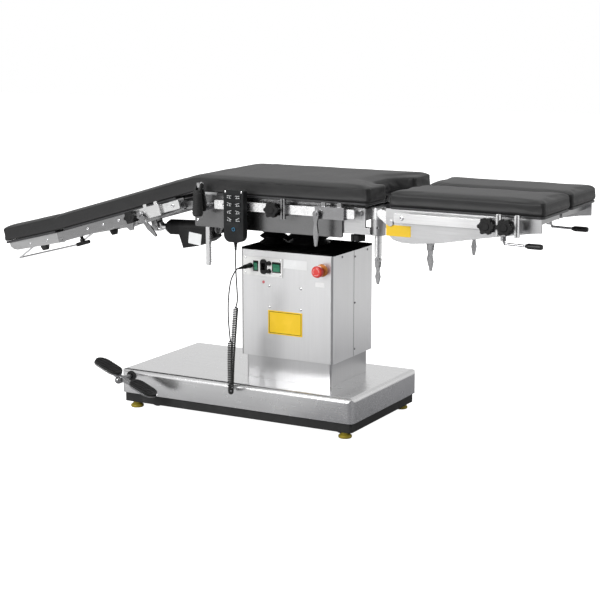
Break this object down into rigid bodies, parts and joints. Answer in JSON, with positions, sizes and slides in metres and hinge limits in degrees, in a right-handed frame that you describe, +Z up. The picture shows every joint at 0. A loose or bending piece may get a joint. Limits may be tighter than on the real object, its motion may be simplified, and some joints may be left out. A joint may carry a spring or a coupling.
{
  "type": "electric operating table",
  "caption": "Electric operating table with a lifting, tilting column, jointed back and head sections, split leg sections, a kidney bridge, side rails and a wired handset.",
  "frame": {"origin": "on the floor under the lifting column's axis", "axes": "+X along the table from the head end to the foot end, +Y across to the far side, away from the handset, +Z up"},
  "size_m": [2.1158, 0.632, 0.85],
  "materials": {
    "stainless": "brushed",
    "bright_steel": "polished",
    "dark_steel": "satin",
    "column_steel": "ground",
    "padding": "matte",
    "rubber_black": "matte",
    "plastic_black": "matte",
    "gloss_black": "gloss",
    "panel_white": "satin",
    "rocker_green": "gloss",
    "stop_red": "gloss",
    "collar_yellow": "satin",
    "foot_zinc": "satin"
  },
  "bodies": {
    "base": {"base_frame": "dark_steel", "base_cover": "stainless", "base_skirt": "rubber_black", "levelling_feet": "foot_zinc", "lower_column_cover": "stainless", "outer_mast": "dark_steel"},
    "caster_set": {"casters": "dark_steel"},
    "pedal": {"brake_pedal": "stainless", "pedal_treads": "rubber_black"},
    "column": {"inner_mast": "stainless", "column_cap": "gloss_black", "upper_cover_front": "stainless", "upper_cover_rear": "stainless", "control_panel": "panel_white", "power_inlet": "plastic_black", "stop_collar": "collar_yellow", "tilt_bellows": "rubber_black", "cord_plug": "plastic_black", "handset_cord": "rubber_black"},
    "rocker_left": {"switch_left": "rocker_green"},
    "rocker_right": {"switch_right": "rocker_green"},
    "stop": {"stop_button": "stop_red"},
    "cradle": {"tilt_cradle": "dark_steel"},
    "seat": {"seat_frame": "stainless", "seat_rails": "bright_steel", "seat_pad": "padding", "leg_sockets": "stainless", "rail_clamps": "bright_steel", "handset": "plastic_black"},
    "seat_knob": {"clamp_knob": "plastic_black"},
    "seat_lever": {"clamp_lever": "bright_steel"},
    "socket_knob": {"frame_knob": "plastic_black"},
    "bridge": {"kidney_bridge": "stainless"},
    "crank": {"bridge_crank": "stainless"},
    "grip": {"crank_grip": "rubber_black"},
    "back": {"back_frame": "stainless", "back_pad": "padding", "pad_bends": "padding"},
    "back_knob": {"back_clamp_knob": "plastic_black"},
    "back_lever": {"back_clamp_lever": "bright_steel"},
    "back_stop": {"back_stop_knob": "plastic_black"},
    "head": {"head_frame": "stainless", "head_pad": "padding"},
    "bail": {"head_bail": "bright_steel"},
    "actuator": {"actuator_body": "dark_steel"},
    "ram": {"actuator_rod": "stainless"},
    "post_near": {"leg_post_near": "stainless"},
    "post_far": {"leg_post_far": "stainless"},
    "leg_near": {"leg_frame_near": "stainless", "leg_pad_near": "padding"},
    "leg_far": {"leg_frame_far": "stainless", "leg_pad_far": "padding"},
    "lever_post_near": {"post_lever_near": "bright_steel"},
    "lever_post_far": {"post_lever_far": "bright_steel"},
    "lever_leg_near": {"leg_lever_near": "bright_steel"},
    "lever_leg_far": {"leg_lever_far": "bright_steel"},
    "knob_inner": {"leg_knob_inner": "plastic_black"},
    "knob_outer": {"leg_knob_outer": "plastic_black"},
    "release_near": {"leg_release_near": "bright_steel"},
    "release_far": {"leg_release_far": "bright_steel"}
  },
  "joints": [
    {"name": "caster_drop", "type": "slide", "parent": "base", "child": "caster_set", "axis": [0, 0, -1], "range_m": [0, 0.007]},
    {"name": "brake_tread", "type": "hinge", "parent": "base", "child": "pedal", "pos_m": [-0.575, -0.325, 0.122], "axis": [0, -1, 0], "range_deg": [0, 38]},
    {"name": "column_lift", "type": "slide", "parent": "base", "child": "column", "axis": [0, 0, 1], "range_m": [-0.07, 0.22]},
    {"name": "switch_left_rock", "type": "hinge", "parent": "column", "child": "rocker_left", "pos_m": [-0.1195, -0.143, 0.541], "axis": [-1, 0, 0], "range_deg": [0, 18]},
    {"name": "switch_right_rock", "type": "hinge", "parent": "column", "child": "rocker_right", "pos_m": [-0.038, -0.143, 0.541], "axis": [-1, 0, 0], "range_deg": [0, 18]},
    {"name": "stop_press", "type": "slide", "parent": "column", "child": "stop", "axis": [0, 1, 0], "range_m": [0, 0.005], "stiffness_N_per_m": 600},
    {"name": "end_tilt", "type": "hinge", "parent": "column", "child": "cradle", "pos_m": [0, 0, 0.64], "axis": [0, 1, 0], "range_deg": [-25, 25], "deforming": ["tilt_bellows", "handset_cord"]},
    {"name": "side_tilt", "type": "hinge", "parent": "cradle", "child": "seat", "pos_m": [0, 0, 0.64], "axis": [1, 0, 0], "range_deg": [-18, 18], "deforming": ["tilt_bellows", "handset_cord"]},
    {"name": "seat_knob_turn", "type": "hinge", "parent": "seat", "child": "seat_knob", "pos_m": [0.031, -0.28, 0.762], "axis": [0, 1, 0], "range_deg": [-180, 180]},
    {"name": "seat_lever_swing", "type": "hinge", "parent": "seat", "child": "seat_lever", "pos_m": [0.194, -0.28, 0.759], "axis": [0, 1, 0], "range_deg": [0, 90]},
    {"name": "socket_knob_turn", "type": "hinge", "parent": "seat", "child": "socket_knob", "pos_m": [0.298, -0.2, 0.68], "axis": [0, 0, 1], "range_deg": [-180, 180]},
    {"name": "bridge_lift", "type": "slide", "parent": "seat", "child": "bridge", "axis": [0, 0, 1], "range_m": [0, 0.1], "deforming": ["pad_bends"]},
    {"name": "crank_turn", "type": "hinge", "parent": "seat", "child": "crank", "pos_m": [-0.247, 0, 0.75], "axis": [0, 1, 0], "range_deg": [0, 499]},
    {"name": "grip_fold", "type": "hinge", "parent": "crank", "child": "grip", "pos_m": [-0.257, -0.289, 0.826], "axis": [-1, 0, 0], "range_deg": [0, 90]},
    {"name": "back_raise", "type": "hinge", "parent": "seat", "child": "back", "pos_m": [-0.296, 0, 0.752], "axis": [0, -1, 0], "range_deg": [-75, 5], "deforming": ["pad_bends"]},
    {"name": "back_knob_turn", "type": "hinge", "parent": "back", "child": "back_knob", "pos_m": [-0.53382, -0.282, 0.69928], "axis": [0, 1, 0], "range_deg": [-180, 180]},
    {"name": "back_lever_swing", "type": "hinge", "parent": "back", "child": "back_lever", "pos_m": [-0.49874, -0.284, 0.70759], "axis": [0, 1, 0], "range_deg": [0, 60]},
    {"name": "back_stop_turn", "type": "hinge", "parent": "back", "child": "back_stop", "pos_m": [-0.80897, -0.216, 0.60005], "axis": [-0.284, 0, 0.9588], "range_deg": [-180, 180]},
    {"name": "head_tilt", "type": "hinge", "parent": "back", "child": "head", "pos_m": [-0.88372, 0, 0.58834], "axis": [0, -1, 0], "range_deg": [-22, 60], "deforming": ["pad_bends"]},
    {"name": "bail_swing", "type": "hinge", "parent": "head", "child": "bail", "pos_m": [-1.02056, 0, 0.56684], "axis": [0, -1, 0], "range_deg": [-20, 68]},
    {"name": "actuator_swing", "type": "hinge", "parent": "seat", "child": "actuator", "pos_m": [-0.25, -0.15, 0.66], "axis": [0, -1, 0], "range_deg": [-58, 4]},
    {"name": "ram_reach", "type": "slide", "parent": "actuator", "child": "ram", "axis": [-0.9993, 0, -0.0366], "range_m": [-0.007, 0.087]},
    {"name": "leg_spread_near", "type": "hinge", "parent": "seat", "child": "post_near", "pos_m": [0.373, -0.203, 0.76], "axis": [0, 0, -1], "range_deg": [0, 90]},
    {"name": "leg_fold_near", "type": "hinge", "parent": "post_near", "child": "leg_near", "pos_m": [0.432, -0.203, 0.738], "axis": [0, -1, 0], "range_deg": [-90, 0]},
    {"name": "post_lever_near_swing", "type": "hinge", "parent": "post_near", "child": "lever_post_near", "pos_m": [0.373, -0.203, 0.61], "axis": [0, 1, 0], "range_deg": [0, 60]},
    {"name": "leg_lever_near_swing", "type": "hinge", "parent": "leg_near", "child": "lever_leg_near", "pos_m": [0.549, -0.178, 0.676], "axis": [0, 1, 0], "range_deg": [0, 60]},
    {"name": "release_near_lift", "type": "hinge", "parent": "leg_near", "child": "release_near", "pos_m": [0.806, -0.205, 0.713], "axis": [0, -1, 0], "range_deg": [0, 18]},
    {"name": "leg_spread_far", "type": "hinge", "parent": "seat", "child": "post_far", "pos_m": [0.373, 0.203, 0.76], "axis": [0, 0, 1], "range_deg": [0, 90]},
    {"name": "leg_fold_far", "type": "hinge", "parent": "post_far", "child": "leg_far", "pos_m": [0.432, 0.203, 0.738], "axis": [0, -1, 0], "range_deg": [-90, 0]},
    {"name": "post_lever_far_swing", "type": "hinge", "parent": "post_far", "child": "lever_post_far", "pos_m": [0.373, 0.203, 0.61], "axis": [0, 1, 0], "range_deg": [0, 60]},
    {"name": "leg_lever_far_swing", "type": "hinge", "parent": "leg_far", "child": "lever_leg_far", "pos_m": [0.549, 0.178, 0.676], "axis": [0, 1, 0], "range_deg": [0, 60]},
    {"name": "release_far_lift", "type": "hinge", "parent": "leg_far", "child": "release_far", "pos_m": [0.806, 0.205, 0.713], "axis": [0, -1, 0], "range_deg": [0, 18]},
    {"name": "leg_knob_inner_turn", "type": "hinge", "parent": "leg_near", "child": "knob_inner", "pos_m": [0.787, -0.28, 0.761], "axis": [0, 1, 0], "range_deg": [-180, 180]},
    {"name": "leg_knob_outer_turn", "type": "hinge", "parent": "leg_near", "child": "knob_outer", "pos_m": [0.847, -0.28, 0.761], "axis": [0, 1, 0], "range_deg": [-180, 180]}
  ],
  "couplings": [
    {"joint": "brake_tread", "follows": "caster_drop", "rad_per_m": 94.7},
    {"joint": "crank_turn", "follows": "bridge_lift", "rad_per_m": 86.96},
    {"joint": "actuator_swing", "follows": "back_raise", "ratio": 0.7625},
    {"joint": "ram_reach", "follows": "back_raise", "m_per_rad": -0.0655}
  ]
}
